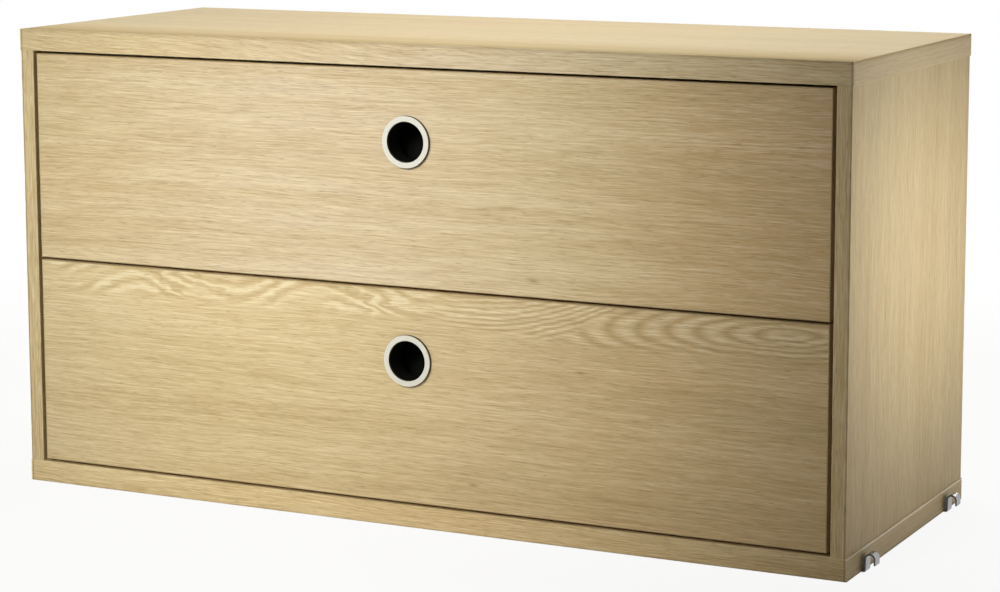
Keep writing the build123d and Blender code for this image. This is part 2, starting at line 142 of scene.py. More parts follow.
class ChestSizes(bpy.types.PropertyGroup):
    """Lengths of the pieces that are made here."""

    band: length("Band", "Thickness of the edge bands", 0.8 * MM)
    edge: length("Eased Edge", "Rounding of the drawer boxes' edges", 0.7 * MM)
    ring_radius: length("Ring Radius", "Outer radius of a pull ring", 22.0 * MM)
    hole_radius: length("Hole Radius", "Radius of the finger hole", 17.2 * MM)
    ring_wall: length("Ring Thickness", "How far a ring stands in front of its drawer", 3.2 * MM)
    ring_slope: length("Ring Slope", "How much smaller a ring is at its face than at its drawer", 0.2 * MM)
    # Behind this depth from its face, the ring carries painted shade.
    ring_facing: length("Ring Facing", "Depth of the pale facing on a ring's dark body", 0.3 * MM)
    collar_radius: length("Collar Radius", "Outer radius of the ring's collar", 19.7 * MM)
    collar_length: length("Collar Length", "Length of the collar in the drawer front", 4.0 * MM)
    cup_wall: length("Cup Wall", "Wall of a finger cup", 1.2 * MM)
    flange_radius: length("Flange Radius", "Radius of the cup's flange", 31.5 * MM)
    flange: length("Flange", "Thickness of the cup's flange", 2.0 * MM)
    chamber_radius: length("Chamber Radius", "Inner radius of the cup behind the front", 24.0 * MM)
    chamber_depth: length("Chamber Depth", "Depth of the wide part of the cup", 12.0 * MM)
    strip: length("Strip", "Thickness of the hooks' strip", 1.5 * MM)
    strip_width: length("Strip Width", "Width of the hooks' strip", 11.0 * MM)
    hook_gap: length("Hook Gap", "Mouth of a hook", 6.2 * MM)
    hook_height: length("Hook Height", "Top of a hook above the underside of the chest", 15.5 * MM)
    hook_lip: length("Hook Lip", "Open end of a hook above the underside of the chest", 6.0 * MM)
    hook_leg: length("Hook Leg", "Gap between the leg of a hook and the end of the board", 2.5 * MM)
    hook_foot: length("Hook Foot", "Length of a hook's foot under the board", 30.0 * MM)
    foot_screw_edge: length("Foot Screw Edge", "Outer screw of a foot to the end of the board", 8.0 * MM)
    foot_screw_step: length("Foot Screw Step", "Distance between the screws of a foot", 14.0 * MM)
    sink_radius: length("Sink Radius", "Radius of the countersinks in a foot", 3.25 * MM)
    sink_depth: length("Sink Depth", "Depth of the countersinks in a foot", 1.42 * MM)


class ChestColours(bpy.types.PropertyGroup):
    """Colours of the finishes."""

    oak: colour("Oak", "Middle tone of the veneer", (0.620, 0.480, 0.275))
    oak_light: colour("Light Oak", "Cream streaks and flecks of the veneer", (0.790, 0.670, 0.445))
    oak_dark: colour("Dark Oak", "Darker streaks of the veneer", (0.430, 0.305, 0.150))
    oak_warm: colour("Warm Oak", "Reddish patches of the veneer", (0.650, 0.465, 0.260))
    oak_cream: colour("Cream Oak", "Creamier wood in the middle of the upper front", (0.617, 0.495, 0.360))
    # This redder, darker tone is part wood tone and part painted shade where the light falls off.
    oak_red_and_shade: colour("Red Oak", "Redder wood on the right of the drawer fronts", (0.600, 0.405, 0.205))
    # This pale tone is a painted highlight on lit arrises.
    oak_painted_highlight: colour("Pale Oak", "Worn arrises of the veneer", (0.900, 0.800, 0.600))
    # This dark tone also serves as painted shade near arrises.
    oak_pore_and_shade: colour("Oak Pores", "Open pores and pin knots", (0.200, 0.125, 0.055))
    birch: colour("Birch", "Faces of the drawer boxes", (0.720, 0.595, 0.400))
    birch_dark: colour("Dark Birch", "Darker lines on the faces of the boxes", (0.560, 0.430, 0.250))
    birch_cross: colour("Birch Cross Ply", "Cross plies on the edges of the boxes", (0.430, 0.290, 0.150))
    beech: colour("Beech", "Dowels", (0.620, 0.430, 0.260))
    beech_dark: colour("Dark Beech", "Darker flecks of the dowels", (0.450, 0.280, 0.150))
    zinc: colour("Zinc", "Zinc-plated steel", (0.600, 0.605, 0.600))
    strip_steel: colour("Strip Steel", "Zinc-plated faces of the hooks", (0.340, 0.342, 0.345))
    # This dark tone is part bare cut steel and part painted shade.
    cut_steel_and_shade: colour("Cut Steel", "Cut edges of the strip", (0.055, 0.055, 0.058))
    ball: colour("Ball Steel", "Polished balls", (0.760, 0.760, 0.770))
    nylon: colour("Nylon", "Ball cages", (0.800, 0.790, 0.740))
    rubber: colour("Rubber", "Rear buffers", (0.025, 0.025, 0.026))
    ring: colour("Ring", "Pull rings", (0.705, 0.685, 0.625))
    # This dark tone is painted shade on the rings' walls behind their pale face.
    ring_body: colour("Ring Body", "Body of the rings behind their pale facing", (0.030, 0.020, 0.010))
    cup: colour("Cup", "Finger cups", (0.006, 0.006, 0.005))
    floor: colour("Floor", "Studio floor", (0.860, 0.860, 0.850))


class Signal:
    """An output of a node. Arithmetic on signals adds Math nodes."""

    def __init__(self, finish, socket):
        self.finish = finish
        self.socket = socket

    def maths(self, operation, *values):
        return self.finish.node("ShaderNodeMath", {"operation": operation}, dict(enumerate(values)))

    def __add__(self, other):
        return self.maths("ADD", self, other)

    def __sub__(self, other):
        return self.maths("SUBTRACT", self, other)

    def __rsub__(self, other):
        return self.maths("SUBTRACT", other, self)

    def __mul__(self, other):
        return self.maths("MULTIPLY", self, other)

    def __truediv__(self, other):
        return self.maths("DIVIDE", self, other)

    def __rtruediv__(self, other):
        return self.maths("DIVIDE", other, self)

    def __pow__(self, other):
        return self.maths("POWER", self, other)

    def __abs__(self):
        return self.maths("ABSOLUTE", self)

    __radd__ = __add__
    __rmul__ = __mul__

    def sine(self):
        return self.maths("SINE", self)

    def floor(self):
        return self.maths("FLOOR", self)

    def exponent(self):
        return self.maths("EXPONENT", self)

    def smaller(self, other):
        return self.maths("MINIMUM", self, other)

    def larger(self, other):
        return self.maths("MAXIMUM", self, other)

    def odd(self):
        """1 where the whole number is odd, 0 where it is even."""
        return abs(self.maths("FLOORED_MODULO", self, 2.0))

    def bell(self, middle, width):
        """exp(-((value - middle) / width)^2)"""
        offset = (self - middle) / width
        return (offset * offset * -1.0).exponent()

    def rise(self, low, high):
        """Goes smoothly from 0 at low to 1 at high."""
        settings = {"interpolation_type": "SMOOTHSTEP"}
        return self.finish.node(
            "ShaderNodeMapRange", settings, {"Value": self, "From Min": low, "From Max": high}, "Result"
        )


class Finish:
    """A material, built from nodes."""

    def __init__(self, name):
        self.material = bpy.data.materials.new(name)
        self.material.use_nodes = True
        self.tree = self.material.node_tree
        self.tree.nodes.clear()
        place = self.node("ShaderNodeTexCoord", {}, {}, "Object")
        self.x, self.y, self.z = self.node("ShaderNodeSeparateXYZ", {}, {0: place}, ("X", "Y", "Z"))

    def node(self, kind, settings, inputs, output=0):
        """Adds a node: its settings first, then its sockets' values or links.

        Gives one output, or several.
        """
        made = self.tree.nodes.new(kind)
        for name, value in settings.items():
            setattr(made, name, value)
        for key, value in inputs.items():
            if isinstance(value, Signal):
                self.tree.links.new(value.socket, made.inputs[key])
            else:
                made.inputs[key].default_value = value
        if isinstance(output, tuple):
            return tuple(Signal(self, made.outputs[key]) for key in output)
        return Signal(self, made.outputs[output])

    def noise(self, place, sizes, detail=2.0, roughness=0.5):
        """Noise from 0 to 1. Its patches have the given sizes along each axis of the place, in metres."""
        scaled = {key: value / size for key, (value, size) in enumerate(zip(place, sizes))}
        vector = self.node("ShaderNodeCombineXYZ", {}, scaled)
        inputs = {"Vector": vector, "Scale": 1.0, "Detail": detail, "Roughness": roughness}
        return self.node("ShaderNodeTexNoise", {"noise_dimensions": "3D"}, inputs, "Fac")

    def grit(self, size):
        """Noise whose patches have one size in every direction."""
        return self.noise((self.x, self.y, self.z), (size, size, size))

    def mix(self, factor, first, second):
        """Colour from the first to the second by the factor."""
        inputs = {0: factor, 6: opaque(first), 7: opaque(second)}
        return self.node("ShaderNodeMix", {"data_type": "RGBA", "clamp_factor": True}, inputs, 2)

    def surface(self, base, roughness, height, depth, **constants):
        """Closes the material.

        It takes a base colour, a roughness, a bump of a depth from a height, and other sockets' constants.
        """
        inputs = {"Base Color": base, "Roughness": roughness}
        inputs.update({name.replace("_", " "): value for name, value in constants.items()})
        bump = {"Height": height, "Distance": depth, "Strength": 1.0}
        inputs["Normal"] = self.node("ShaderNodeBump", {}, bump, "Normal")
        shader = self.node("ShaderNodeBsdfPrincipled", {}, inputs, "BSDF")
        self.node("ShaderNodeOutputMaterial", {}, {"Surface": shader}, ())
        return self.material


def opaque(value):
    """A colour of three numbers as four. A signal stays as it is."""
    return value if isinstance(value, Signal) else (*value, 1.0)


def dimmed(value, factor):
    """A colour times a factor."""
    return [c * factor for c in value]


def grain_place(finish, grain, seed):
    """The place along the grain and in the two directions across it.

    The seed moves it, so that boards differ.
    """
    x, y, z = finish.x, finish.y - GRAIN_START, finish.z
    orders = {"x": (x, z, y), "y": (y, z, x), "z": (z, x, y)}
    along, across, deep = orders[grain]
    return along + seed, across + seed * 0.37, deep


def veneer(name, grain="x", seed=0.0, contrast=1.0, tone=1.0, lean=0.0, gloss=0.25, figure=None,
           knots=(), end_grain_from=None, edge=None, cream=None, blush=None):
    """Oak veneer: sway, bands, streaks, flecks and pores along the grain.

    The figure is a function that adds growth rings. The knots are places in X and Z. Farther from the
    middle than the start of the end grain, the pattern follows Y, and is weaker. The edge is a function
    that gives how much darker the wood is near an arris, as a glue line or as painted shade, and a painted
    highlight where it is negative. The cream says where along X the wood is creamiest, how far that
    reaches and by how much. The blush, part wood tone and part painted shade, says where the wood starts
    to turn redder and darker, where it is reddest, and by how much.
    """
    knot_length, knot_height = 4.5 * MM, 1.5 * MM
    colours = bpy.context.scene.chest_colours
    f = Finish(name)
    along, across, deep = grain_place(f, grain, seed)
    if end_grain_from is not None:
        turn = abs(f.x).rise(end_grain_from - 0.02 * MM, end_grain_from + 0.02 * MM)
        along = along + (f.y - f.x) * turn
        deep = deep + (f.x - f.y) * turn
        contrast = contrast - turn * 0.7
    sway = f.noise((along, across, deep), SWAY, 2.0) - 0.5
    across = across + sway * (9.0 * MM)
    across = across + f.x.smaller(0.0) * lean
    place = (along, across, deep)
    bands = f.noise(place, BANDS, 2.0, 0.6) - 0.5
    streaks = f.noise(place, STREAKS, 2.0, 0.55) - 0.5
    hairs = f.noise(place, HAIRS, 1.0, 0.5) - 0.5
    warmth = f.noise(place, WARM_PATCHES, 1.0).rise(0.40, 0.75)
    dashes = f.noise(place, DASHES, 1.0).rise(0.58, 0.74)
    pores = f.noise(place, PORES, 1.0).rise(0.60, 0.74)
    shade = (bands * 0.75 + streaks * 1.5 + hairs * 1.1) * contrast
    if figure is not None:
        shade = shade + figure(f, streaks)
    base = f.mix(warmth * 0.4, colours.oak, colours.oak_warm)
    if cream is not None:
        middle, width, amount = cream
        share = f.x.bell(middle, width) * (bands * 1.5 + 1.0) * amount
        base = f.mix(share, base, colours.oak_cream)
    # Redder and darker towards the right: part wood tone, part painted shade.
    if blush is not None:
        start, end, amount = blush
        share = f.x.rise(start, end) * (bands * 1.5 + 1.0) * amount
        base = f.mix(share, base, colours.oak_red_and_shade)
    base = f.mix(shade * 1.5, base, colours.oak_light)
    base = f.mix(shade * -1.5, base, colours.oak_dark)
    base = f.mix(dashes * (0.35 * contrast), base, colours.oak_light)
    base = f.mix(pores * (0.38 * contrast), base, colours.oak_pore_and_shade)
    for x, z in knots:
        reach = ((f.x - x) / knot_length) ** 2.0 + ((f.z - z) / knot_height) ** 2.0
        base = f.mix((reach * -1.0).exponent() * 0.5, base, colours.oak_pore_and_shade)
    roughness = 0.46 + streaks * 0.10 + pores * 0.12
    # The edge's value is painted shade where positive and a painted highlight where negative; at the
    # corners part of it is a glue line.
    if edge is not None:
        shadow = edge(f)
        roughness = roughness + shadow * 2.0
        base = f.mix(shadow, base, colours.oak_pore_and_shade)
        base = f.mix(shadow * -1.0, base, colours.oak_painted_highlight)
    if tone != 1.0:
        settings = {"data_type": "RGBA", "blend_type": "MULTIPLY"}
        base = f.node("ShaderNodeMix", settings, {0: 1.0, 6: base, 7: opaque((tone, tone, tone))}, 2)
    height = hairs * 0.3 + streaks * 0.4 - pores * 0.8
    return f.surface(base, roughness, height, 0.05 * MM, Specular_IOR_Level=gloss)


def flame(f, streaks):
    """Growth rings along the upper edge of the board, as a count that rises outwards.

    Towards the right it is the root of (distance from the eye / stretch)^2 + (height over the axis /
    step)^2, which gives pointed arches. In the middle it is a row of bowls: the height under a parabola,
    over the step. A smooth minimum joins the two. On the left it is the height over a long wave, over a
    wider step, which gives slanted patches. All of it fades out downwards.
    """
    eye, stretch, step = 0.338, 25.7 * MM, 4.5 * MM
    bowl_middle, bowl_top, bowl_bend = 0.058, 0.1793, 1.85
    wave_start, wave_length, wave_height, wave_step = -0.128, 0.19, 17.0 * MM, 12.5 * MM
    left_end, right_end, fade_height = 0.176, 0.167, 9.0 * MM
    deep = f.y - GRAIN_START
    wander = f.noise((f.x, deep, f.z), (0.034, 0.011, 0.011), 2.0, 0.6) - 0.5
    patchy = f.noise((f.x + 0.7, deep, f.z), (0.060, 0.025, 0.025), 1.0).rise(0.30, 0.50)
    x, z = f.x, f.z + wander * (5.0 * MM)
    axis = (x - 0.300) * 0.04 + 0.1915
    arches = (((x - eye) / stretch) ** 2.0 + ((z - axis) / step) ** 2.0) ** 0.5
    bowls = (bowl_top + (x - bowl_middle) ** 2.0 * bowl_bend - z) / step + 4.0
    near = arches.maths("SMOOTH_MIN", arches, bowls, 1.0)
    swing = ((x - wave_start) * (2.0 * math.pi / wave_length) + wander * 1.5).sine()
    far = (z - swing * wave_height) / wave_step + wander * 0.5
    right = x.rise(-0.010, 0.060)
    late, early = growth(near)
    arch = (early * 0.26 - late * 0.42) * right
    late, early = growth(far)
    patch = (early * 0.50 - late * 0.36) * patchy * (1.0 - right)
    lower_end = left_end - x.rise(0.0, 0.15) * (left_end - right_end)
    fade = ((z - lower_end) / fade_height).rise(0.0, 1.0)
    return (arch + patch + 0.05) * fade * (1.0 + streaks * 1.6)


def growth(count):
    """Narrow late wood where the count is whole, and wide early wood between, each from 0 to 1."""
    wave = (count * (2.0 * math.pi) + math.pi / 2).sine()
    return wave.larger(0.0) ** 1.5, (wave * -1.0).larger(0.0)


def piece(name, points, faces, finish, body, replaced, sharp=35.0):
    """A mesh from an array of points and its faces, merged, with its faces outwards, riding on a body.

    Edges sharper than the angle, in degrees, stay sharp.
    """
    mesh = bpy.data.meshes.new(name)
    mesh.from_pydata(points.tolist(), [], faces)
    work = bmesh.new()
    work.from_mesh(mesh)
    bmesh.ops.remove_doubles(work, verts=work.verts, dist=0.001 * MM)
    bmesh.ops.recalc_face_normals(work, faces=work.faces)
    work.to_mesh(mesh)
    work.free()
    mesh.shade_smooth()
    mesh.set_sharp_from_angle(angle=math.radians(sharp))
    mesh.materials.append(finish)
    made = bpy.data.objects.new(name, mesh)
    bpy.context.scene.collection.objects.link(made)
    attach(made, body)
    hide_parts(*replaced)


def grid_faces(rows, columns, close_rows=False):
    """Quads between neighbours of a grid of points. Its columns always join up, and its rows if asked."""
    used_rows = rows if close_rows else rows - 1
    i, j = np.meshgrid(np.arange(used_rows), np.arange(columns), indexing="ij")
    below, beside = (i + 1) % rows, (j + 1) % columns
    corners = [i * columns + j, below * columns + j, below * columns + beside, i * columns + beside]
    return np.stack(corners, -1).reshape(-1, 4).tolist()


def rounded(corners, roundings, steps=6, closed=True):
    """An outline with rounded corners.

    Each corner c is a parabola (1-t)^2 a + 2t(1-t) c + t^2 b between the points a and b, which lie a
    rounding before and after it. The ends of an open outline stay as they are.
    """
    c = np.array(corners, float)
    reach = np.array(roundings, float)[:, None]
    if not closed:
        reach[[0, -1]] = 0.0
    before, after = np.roll(c, 1, 0) - c, np.roll(c, -1, 0) - c
    a = c + before / np.linalg.norm(before, axis=1, keepdims=True) * reach
    b = c + after / np.linalg.norm(after, axis=1, keepdims=True) * reach
    t = np.linspace(0.0, 1.0, steps)[None, :, None]
    curve = (1 - t) ** 2 * a[:, None] + 2 * t * (1 - t) * c[:, None] + t**2 * b[:, None]
    return curve.reshape(-1, 2)


def turned(outline, face_y, middle_z, steps=128):
    """Points of a surface of revolution.

    A point (r, d) of the outline, at the angle u, lies at (r sin u, face + d, middle + r cos u).
    """
    u = np.linspace(0.0, 2 * np.pi, steps, endpoint=False)[None, :]
    r, d = outline[:, :1], outline[:, 1:]
    return np.stack([r * np.sin(u), face_y + d + 0 * u, middle_z + r * np.cos(u)], -1).reshape(-1, 3)


def assign(finish, *nodes):
    """Gives CAD nodes a finish."""
    for name in nodes:
        materials = frame["nodes"][name].data.materials
        materials.clear()
        materials.append(finish)


def ring_height(drawer):
    """Height of the middle of a drawer's pull."""
    return highest(f"{drawer}_front_bands").z - PULL_DROP


def front_face(drawer):
    return lowest(f"{drawer}_front_bands").y


def top_painted_shade(f):
    """Painted shade: the top darkens, and turns matt, a little over its last 90 mm in front and more over
    the last 25.
    """
    back = f.y - FRONT_EDGE
    wide = 1.0 - back.rise(9.0 * MM, 89.0 * MM)
    narrow = 1.0 - back.rise(1.0 * MM, 24.0 * MM)
    return wide * 0.14 + narrow * 0.18


def upper_band_shade_and_corner(f):
    """Painted shade darkens the upper band towards its upper edge. At the corners of the chest it also
    takes the corner's line and painted highlight.
    """
    upper = 1.0 - (CAD_BOX[1].z - f.z).rise(0.0, 3.5 * MM)
    return upper * 0.26 + corner(f)


def corner(f):
    """A darker line on the front beside the corners of the chest, part glue line and part painted shade,
    and a painted highlight on the arris of its ends.
    """
    near = 1.0 - (f.y - FRONT_EDGE).rise(0.0, 1.0 * MM)
    line = abs(f.x).rise(HALF_WIDTH - 3.0 * MM, HALF_WIDTH - 1.8 * MM)
    outer = abs(f.x).rise(HALF_WIDTH - 1.5 * MM, HALF_WIDTH - 1.0 * MM)
    return (line * 0.55 - outer * 0.85) * near


def ledge(f):
    """The lower band has a painted highlight where it stands proud of the sides, and is darker along its
    lower arris.
    """
    joint = highest("bottom_edge_bands").z
    proud = abs(f.x).rise(HALF_WIDTH - 1.1 * MM, HALF_WIDTH - 0.9 * MM)
    low = (1.0 - f.z.rise(0.3 * MM, 1.8 * MM)) * 0.35
    return corner(f) + low - f.z.rise(joint - 2.0 * MM, joint - 1.2 * MM) * proud


def front_band_painted_shade(f):
    """Painted shade in the gaps: the bands round the drawer fronts darken over their first 4 mm from the
    face.
    """
    return (1.0 - (f.y - front_face("upper")).rise(1.0 * MM, 4.0 * MM)) * 0.45


class CHEST_OT_carcass(bpy.types.Operator):
    """Veneer the top, bottom, sides and back"""

    bl_idname = "chest.carcass"
    bl_label = "Carcass Veneer"

    def execute(self, context):
        assign(veneer("oak_top", seed=3.1, contrast=0.55, edge=top_painted_shade), "top_panel")
        assign(veneer("oak_bottom", seed=5.7), "bottom_panel")
        assign(veneer("oak_left_side", "z", seed=1.3, contrast=0.8, gloss=0.12), "left_side_panel")
        assign(veneer("oak_right_side", "z", seed=2.9, contrast=0.8, gloss=0.12), "right_side_panel")
        assign(veneer("oak_back", seed=8.2, contrast=0.6, tone=0.95), "back_panel")
        return {"FINISHED"}


class CHEST_OT_edge_bands(bpy.types.Operator):
    """Veneer the edge bands of the carcass, with upright grain on the sides"""

    bl_idname = "chest.edge_bands"
    bl_label = "Edge Bands"

    def execute(self, context):
        ends = HALF_WIDTH - context.scene.chest_sizes.band
        upper = veneer("oak_top_bands", seed=4.4, contrast=1.2, lean=0.07, end_grain_from=ends,
                       edge=upper_band_shade_and_corner, cream=(0.0, 0.20, 0.7))
        assign(upper, "top_edge_bands")
        lower = veneer("oak_bottom_bands", seed=6.6, contrast=1.2, tone=1.10, gloss=0.12,
                       end_grain_from=ends, edge=ledge)
        assign(lower, "bottom_edge_bands")
        assign(veneer("oak_side_bands", "z", seed=7.9, contrast=1.3, edge=corner), "side_edge_bands")
        return {"FINISHED"}


class CHEST_OT_drawer_fronts(bpy.types.Operator):
    """Veneer the drawer fronts and their bands"""

    bl_idname = "chest.drawer_fronts"
    bl_label = "Drawer Fronts"

    def execute(self, context):
        # The blush on each front is part wood tone and part painted shade.
        upper = veneer("oak_upper_front", seed=0.6, knots=((0.117, 0.220),), blush=(0.12, 0.33, 0.85),
                       cream=(-0.10, 0.20, 0.8))
        lower = veneer("oak_lower_front", seed=9.5, figure=flame, knots=((0.159, 0.147), (0.061, 0.043)),
                       blush=(-0.02, 0.30, 0.45))
        assign(upper, "upper_drawer_front")
        assign(lower, "lower_drawer_front")
        bands = veneer("oak_front_bands", seed=2.2, tone=1.06, edge=front_band_painted_shade)
        assign(bands, *[f"{drawer}_front_bands" for drawer in DRAWERS])
        return {"FINISHED"}


def plywood(name, axis, start, thickness, plies, grain):
    """Birch plywood: pale faces, and darker cross plies where an edge cuts through them.

    The plies lie across the axis, from the start and through the thickness. A small margin keeps both
    faces inside their outer plies.
    """
    colours = bpy.context.scene.chest_colours
    f = Finish(name)
    through = {"x": abs(f.x), "y": f.y, "z": f.z}[axis]
    margin = 0.002
    share = ((through - start) / thickness) * (1.0 - 2 * margin) + margin
    cross = (share * plies).floor().odd()
    along, across, deep = grain_place(f, grain, start * 7.0)
    place = (along, across, deep)
    sway = f.noise(place, (0.110, 0.040, 0.040), 1.0) - 0.5
    place = (along, across + sway * (12.0 * MM), deep)
    clouds = f.noise(place, (0.150, 0.014, 0.014), 2.0) - 0.5
    lines = f.noise(place, (0.050, 1.8 * MM, 1.8 * MM), 3.0, 0.6) - 0.5
    specks = f.grit(0.9 * MM)
    face = f.mix((clouds * 1.3 + lines * 1.3).rise(-0.5, 0.5), colours.birch_dark, colours.birch)
    edge = f.mix(specks.rise(0.35, 0.75), colours.birch_cross, colours.birch)
    base = f.mix(cross, face, edge)
    return f.surface(base, 0.50 + lines * 0.12, lines + specks * 0.3, 0.04 * MM)


def softened(node, finish, width):
    """A merged copy of a CAD node whose sharp edges are rounded by a bevel, in place of the node."""
    source = frame["nodes"][node]
    mesh = source.data.copy()
    work = bmesh.new()
    work.from_mesh(mesh)
    bmesh.ops.remove_doubles(work, verts=work.verts, dist=0.001 * MM)
    bmesh.ops.dissolve_limit(work, angle_limit=math.radians(1.0), verts=work.verts, edges=work.edges)
    work.to_mesh(mesh)
    work.free()
    mesh.materials.clear()
    mesh.materials.append(finish)
    made = bpy.data.objects.new(f"eased_{node}", mesh)
    bpy.context.scene.collection.objects.link(made)
    bevel = made.modifiers.new("eased edges", "BEVEL")
    bevel.width = width
    bevel.segments = 2
    bevel.limit_method = "ANGLE"
    bevel.angle_limit = math.radians(40)
    bevel.use_clamp_overlap = True
    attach(made, source["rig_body"])
    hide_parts(node)


class CHEST_OT_drawer_boxes(bpy.types.Operator):
    """Make the drawer boxes of birch plywood with eased edges"""

    bl_idname = "chest.drawer_boxes"
    bl_label = "Drawer Boxes"

    def execute(self, context):
        edge = context.scene.chest_sizes.edge
        back = "lower_box_back"
        back_start = lowest(back).y
        side_ply = plywood("birch_sides", "x", lowest("lower_right_box_side").x, BOX_SIDE, 9, "y")
        back_ply = plywood("birch_backs", "y", back_start, highest(back).y - back_start, 9, "x")
        for drawer in DRAWERS:
            for hand in SIDES:
                softened(f"{drawer}_{hand}_box_side", side_ply, edge)
            softened(f"{drawer}_box_back", back_ply, edge)
            panel = f"{drawer}_box_bottom"
            start = lowest(panel).z
            bottom_ply = plywood(f"birch_{drawer}_bottom", "z", start, highest(panel).z - start, 3, "x")
            assign(bottom_ply, panel)
        return {"FINISHED"}


class CHEST_OT_dowels(bpy.types.Operator):
    """Give the dowels their beech"""

    bl_idname = "chest.dowels"
    bl_label = "Dowels"

    def execute(self, context):
        colours = context.scene.chest_colours
        f = Finish("beech")
        flecks = f.noise((f.x, f.y, f.z), (1.2 * MM, 1.2 * MM, 4.0 * MM), 3.0)
        base = f.mix(flecks.rise(0.3, 0.7), colours.beech_dark, colours.beech)
        beech = f.surface(base, 0.6, flecks, 0.05 * MM)
        assign(beech, "carcass_dowels", *[f"{drawer}_box_dowels" for drawer in DRAWERS])
        return {"FINISHED"}


def plated(name, colour_name, roughness, sizes, cloud=0.12):
    """Bare metal with fine rolling lines or a haze, by the sizes of its patches."""
    base_colour = getattr(bpy.context.scene.chest_colours, colour_name)
    f = Finish(name)
    lines = f.noise((f.x, f.y, f.z), sizes, 3.0, 0.6)
    haze = f.grit(9.0 * MM)
    base = f.mix(lines * 0.5 + haze * 0.5, dimmed(base_colour, 1.0 - cloud), base_colour)
    return f.surface(base, (lines - 0.5) * 0.22 + roughness, lines, 0.01 * MM, Metallic=1.0)


class CHEST_OT_screws(bpy.types.Operator):
    """Plate all screws with bright zinc"""

    bl_idname = "chest.screws"
    bl_label = "Screws"

    def execute(self, context):
        zinc = plated("bright_zinc", "zinc", 0.28, (1.5 * MM, 1.5 * MM, 1.5 * MM))
        assign(zinc, "hook_screws", "cabinet_rail_screws")
        for drawer in DRAWERS:
            assign(zinc, f"{drawer}_bottom_screws", f"{drawer}_rail_screws", f"{drawer}_cup_screws")
        return {"FINISHED"}


class CHEST_OT_slides(bpy.types.Operator):
    """Finish the rails, the balls, their cages and the rear buffers"""

    bl_idname = "chest.slides"
    bl_label = "Slides"

    def execute(self, context):
        colours = context.scene.chest_colours
        rolled = plated("rolled_sheet", "zinc", 0.34, (0.5 * MM, 60.0 * MM, 0.5 * MM))
        polished = plated("polished_balls", "ball", 0.10, (0.6 * MM, 0.6 * MM, 0.6 * MM), 0.03)
        f = Finish("nylon")
        haze = f.grit(3.0 * MM)
        nylon = f.surface(f.mix(haze, dimmed(colours.nylon, 0.9), colours.nylon), 0.42, haze, 0.03 * MM)
        f = Finish("rubber")
        grit = f.grit(0.5 * MM)
        rubber = f.surface(f.mix(grit, colours.rubber, dimmed(colours.rubber, 1.8)), 0.75, grit, 0.05 * MM)
        assign(rubber, "rail_buffers")
        for drawer in DRAWERS:
            assign(nylon, f"{drawer}_ball_cages")
            assign(polished, f"{drawer}_slide_balls")
            for hand in SIDES:
                assign(rolled, f"{drawer}_{hand}_cabinet_rail", f"{drawer}_{hand}_drawer_rail")
        return {"FINISHED"}


class CHEST_OT_pull_rings(bpy.types.Operator):
    """Turn the pull rings, pale in front and dark behind with painted shade, with a collar that goes into
    the drawer front
    """

    bl_idname = "chest.pull_rings"
    bl_label = "Pull Rings"

    def execute(self, context):
        sizes, colours = context.scene.chest_sizes, context.scene.chest_colours
        f = Finish("satin_ring")
        grain = f.grit(0.7 * MM)
        base = f.mix(grain.rise(0.3, 0.7), dimmed(colours.ring, 0.97), colours.ring)
        # Behind a thin pale face the ring is painted dark: painted shade on its walls.
        depth = f.y - front_face("upper") + sizes.ring_wall
        behind = depth.rise(sizes.ring_facing, sizes.ring_facing + 0.15 * MM)
        base = f.mix(behind, base, colours.ring_body)
        finish = f.surface(base, (grain - 0.5) * 0.08 + 0.38, grain, 0.01 * MM)
        hole, wall, bore = sizes.hole_radius, sizes.ring_wall, sizes.collar_radius - sizes.cup_wall
        outline = rounded(
            [
                (hole, -wall),
                (sizes.ring_radius - sizes.ring_slope, -wall),
                (sizes.ring_radius, 0.0),
                (sizes.collar_radius, 0.0),
                (sizes.collar_radius, sizes.collar_length),
                (bore, sizes.collar_length),
                (bore, 0.0),
                (hole, 0.0),
            ],
            [MM * r for r in (0.3, 0.3, 0.1, 0.1, 0.3, 0.3, 0.1, 0.2)],
        )
        for drawer in DRAWERS:
            points = turned(outline, front_face(drawer), ring_height(drawer))
            faces = grid_faces(len(outline), len(points) // len(outline), close_rows=True)
            body, replaced = f"{drawer}_drawer", [f"{drawer}_pull_ring"]
            piece(f"{drawer}_ring", points, faces, finish, body, replaced)
        return {"FINISHED"}


